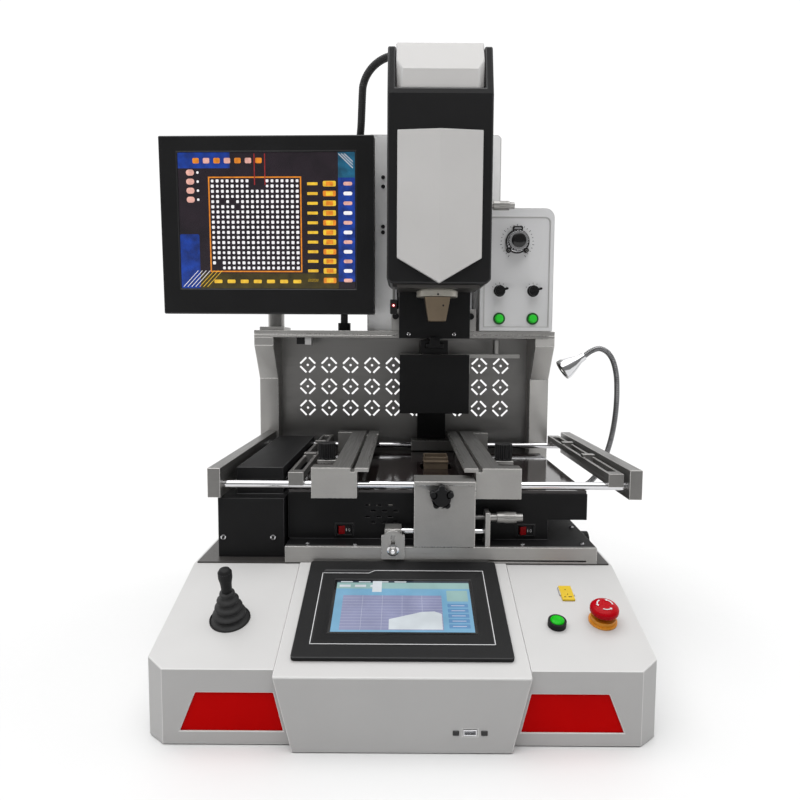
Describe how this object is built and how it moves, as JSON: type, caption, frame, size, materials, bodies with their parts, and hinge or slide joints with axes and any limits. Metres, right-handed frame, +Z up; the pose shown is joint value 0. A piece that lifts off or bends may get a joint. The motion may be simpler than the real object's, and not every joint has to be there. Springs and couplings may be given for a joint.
{
  "type": "bga rework station",
  "caption": "Bench rework station with hot-air head, sliding optics, clamped board table over infrared heaters, touch panel, monitor and gooseneck lamp.",
  "frame": {"origin": "on the flat underside, below the middle of the base's width", "axes": "+Z up, -Y towards the operator, +X to the operator's right"},
  "size_m": [0.7558, 0.5855, 0.8534],
  "materials": {
    "white_paint": "fine powder coat",
    "black_paint": "fine satin powder coat",
    "black_plastic": "moulded, fine texture",
    "aluminium": "milled and anodised",
    "steel": "brushed",
    "chrome": "polished",
    "red": "gloss",
    "green": "gloss",
    "black_glass": "black ceramic glass",
    "display": "lit display",
    "picture": "lit display",
    "ceramic": "glazed ceramic",
    "rubber": "moulded"
  },
  "bodies": {
    "base": {"bottom_pan": "steel", "base_shell": "white_paint", "console_shell": "white_paint", "accent_panels": "red", "hmi_unit": "black_plastic", "hmi_screen": "display", "deck_plate": "black_paint", "front_strip": "aluminium", "fan_housing": "black_paint", "heater_tray": "black_paint", "heater_glass": "black_glass", "ir_heaters": "ceramic", "lower_nozzle": "steel", "rod_brackets": "aluminium", "guide_rods": "chrome", "frame_posts": "aluminium", "shelf_plate": "aluminium", "back_panel": "steel", "column_cover": "white_paint", "control_box": "white_paint", "deck_fittings": "black_plastic", "optics_rail": "black_paint", "monitor_stand": "black_paint", "gooseneck": "chrome", "hose": "rubber", "joystick_boot": "rubber"},
    "head": {"head_shell": "black_plastic", "head_cap": "white_paint", "head_cover": "white_paint", "head_carriage": "aluminium"},
    "monitor": {"monitor_shell": "black_plastic", "monitor_screen": "picture"},
    "table": {"table_frame": "aluminium", "table_rods": "chrome"},
    "fan_rotor": {"fan_rotor": "aluminium"},
    "rocker_left": {"rocker_left": "red"},
    "rocker_right": {"rocker_right": "red"},
    "mic_thimble": {"mic_thimble": "chrome"},
    "dial_knob": {"dial_knob": "black_plastic"},
    "selector_left": {"selector_left": "black_plastic"},
    "selector_right": {"selector_right": "black_plastic"},
    "green_button_left": {"green_button_left": "green"},
    "green_button_right": {"green_button_right": "green"},
    "monitor_neck": {"monitor_neck": "black_paint"},
    "nozzle": {"nozzle": "steel"},
    "head_mic_thimble": {"head_mic_thimble": "chrome"},
    "star_knob": {"star_knob": "black_plastic"},
    "left_clamp": {"left_clamp": "aluminium"},
    "left_clamp_knob": {"left_clamp_knob": "black_plastic"},
    "right_clamp": {"right_clamp": "aluminium"},
    "right_clamp_knob": {"right_clamp_knob": "black_plastic"},
    "left_aux": {"left_aux": "aluminium"},
    "right_aux": {"right_aux": "aluminium"},
    "joystick_gimbal": {"joystick_gimbal": "steel"},
    "joystick_handle": {"joystick_handle": "black_plastic"},
    "start_button": {"start_button": "green"},
    "estop_button": {"estop_button": "red"},
    "side_knob": {"side_knob": "black_plastic"},
    "optics": {"optics_box": "black_paint"},
    "lamp": {"lamp_head": "chrome"}
  },
  "joints": [
    {"name": "head_lift", "type": "slide", "parent": "base", "child": "head", "axis": [0, 0, 1], "range_m": [-0.18, 0], "deforming": ["hose"]},
    {"name": "head_mic_turn", "type": "hinge", "parent": "head", "child": "head_mic_thimble", "pos_m": [0.134, 0.11, 0.614], "axis": [1, 0, 0], "range_deg": [-3590, 3590]},
    {"name": "nozzle_turn", "type": "hinge", "parent": "head", "child": "nozzle", "pos_m": [0.049, 0.093, 0.45], "axis": [0, 0, 1], "range_deg": [-7.5, 7.5]},
    {"name": "optics_slide", "type": "slide", "parent": "base", "child": "optics", "axis": [0, -1, 0], "range_m": [0, 0.1]},
    {"name": "table_mic_turn", "type": "hinge", "parent": "base", "child": "mic_thimble", "pos_m": [0.118, -0.096, 0.186], "axis": [1, 0, 0], "range_deg": [-3590, 3590]},
    {"name": "table_shift", "type": "slide", "parent": "base", "child": "table", "axis": [1, 0, 0], "range_m": [-0.00498, 0.00498]},
    {"name": "left_clamp_slide", "type": "slide", "parent": "table", "child": "left_clamp", "axis": [1, 0, 0], "range_m": [-0.004, 0.06]},
    {"name": "right_clamp_slide", "type": "slide", "parent": "table", "child": "right_clamp", "axis": [1, 0, 0], "range_m": [-0.0015, 0.1]},
    {"name": "left_clamp_knob_turn", "type": "hinge", "parent": "left_clamp", "child": "left_clamp_knob", "pos_m": [-0.106, -0.01, 0.25], "axis": [0, 0, 1], "range_deg": [-180, 180]},
    {"name": "right_clamp_knob_turn", "type": "hinge", "parent": "right_clamp", "child": "right_clamp_knob", "pos_m": [0.138, -0.01, 0.25], "axis": [0, 0, 1], "range_deg": [-180, 180]},
    {"name": "left_aux_slide", "type": "slide", "parent": "table", "child": "left_aux", "axis": [1, 0, 0], "range_m": [-0.006, 0.005]},
    {"name": "right_aux_slide", "type": "slide", "parent": "table", "child": "right_aux", "axis": [1, 0, 0], "range_m": [-0.09, 0.002]},
    {"name": "star_knob_turn", "type": "hinge", "parent": "table", "child": "star_knob", "pos_m": [0.046, -0.122, 0.22], "axis": [0, -1, 0], "range_deg": [-180, 180]},
    {"name": "fan_spin", "type": "hinge", "parent": "base", "child": "fan_rotor", "pos_m": [-0.1865, 0.08, 0.224], "axis": [0, 1, 0], "continuous": true},
    {"name": "left_rocker_tip", "type": "hinge", "parent": "base", "child": "rocker_left", "pos_m": [-0.076, -0.074, 0.164], "axis": [0, 0, 1], "range_deg": [-16, 0]},
    {"name": "right_rocker_tip", "type": "hinge", "parent": "base", "child": "rocker_right", "pos_m": [0.158, -0.074, 0.164], "axis": [0, 0, 1], "range_deg": [-16, 0]},
    {"name": "dial_turn", "type": "hinge", "parent": "base", "child": "dial_knob", "pos_m": [0.1865, 0.1995, 0.574], "axis": [0, -1, 0], "range_deg": [-150, 150]},
    {"name": "left_selector_turn", "type": "hinge", "parent": "base", "child": "selector_left", "pos_m": [0.1585, 0.1995, 0.493], "axis": [0, -1, 0], "range_deg": [-45, 45]},
    {"name": "right_selector_turn", "type": "hinge", "parent": "base", "child": "selector_right", "pos_m": [0.2145, 0.1995, 0.493], "axis": [0, -1, 0], "range_deg": [-45, 45]},
    {"name": "left_panel_push", "type": "slide", "parent": "base", "child": "green_button_left", "axis": [0, 1, 0], "range_m": [0, 0.002], "stiffness_N_per_m": 300},
    {"name": "right_panel_push", "type": "slide", "parent": "base", "child": "green_button_right", "axis": [0, 1, 0], "range_m": [0, 0.002], "stiffness_N_per_m": 300},
    {"name": "start_push", "type": "slide", "parent": "base", "child": "start_button", "axis": [0, 0.2905, -0.9569], "range_m": [0, 0.0025], "stiffness_N_per_m": 300},
    {"name": "estop_push", "type": "slide", "parent": "base", "child": "estop_button", "axis": [0, 0.2905, -0.9569], "range_m": [0, 0.004], "stiffness_N_per_m": 900},
    {"name": "joystick_pitch", "type": "hinge", "parent": "base", "child": "joystick_gimbal", "pos_m": [-0.19, -0.2063, 0.09166], "axis": [1, 0, 0], "range_deg": [-15, 15], "stiffness_Nm_per_rad": 0.3, "deforming": ["joystick_boot"]},
    {"name": "joystick_roll", "type": "hinge", "parent": "joystick_gimbal", "child": "joystick_handle", "pos_m": [-0.19, -0.2063, 0.09166], "axis": [0, 0.9569, 0.2905], "range_deg": [-15, 15], "stiffness_Nm_per_rad": 0.3, "deforming": ["joystick_boot"]},
    {"name": "monitor_swivel", "type": "hinge", "parent": "base", "child": "monitor_neck", "pos_m": [-0.227, 0.262, 0.56], "axis": [0, 0, 1], "range_deg": [-20, 1]},
    {"name": "monitor_tip", "type": "hinge", "parent": "monitor_neck", "child": "monitor", "pos_m": [-0.22756, 0.24601, 0.599], "axis": [0.9994, -0.0349, 0], "range_deg": [-7, 5]},
    {"name": "lamp_bend", "type": "hinge", "parent": "base", "child": "lamp", "pos_m": [0.34, 0.15, 0.3], "axis": [0, 1, 0], "range_deg": [-20, 20], "deforming": ["gooseneck"]},
    {"name": "side_knob_turn", "type": "hinge", "parent": "base", "child": "side_knob", "pos_m": [0.26, 0.07, 0.106], "axis": [1, 0, 0], "range_deg": [-150, 150]}
  ],
  "couplings": [
    {"joint": "table_mic_turn", "follows": "table_shift", "rad_per_m": 12566},
    {"joint": "nozzle_turn", "follows": "head_mic_turn", "ratio": 0.002}
  ]
}
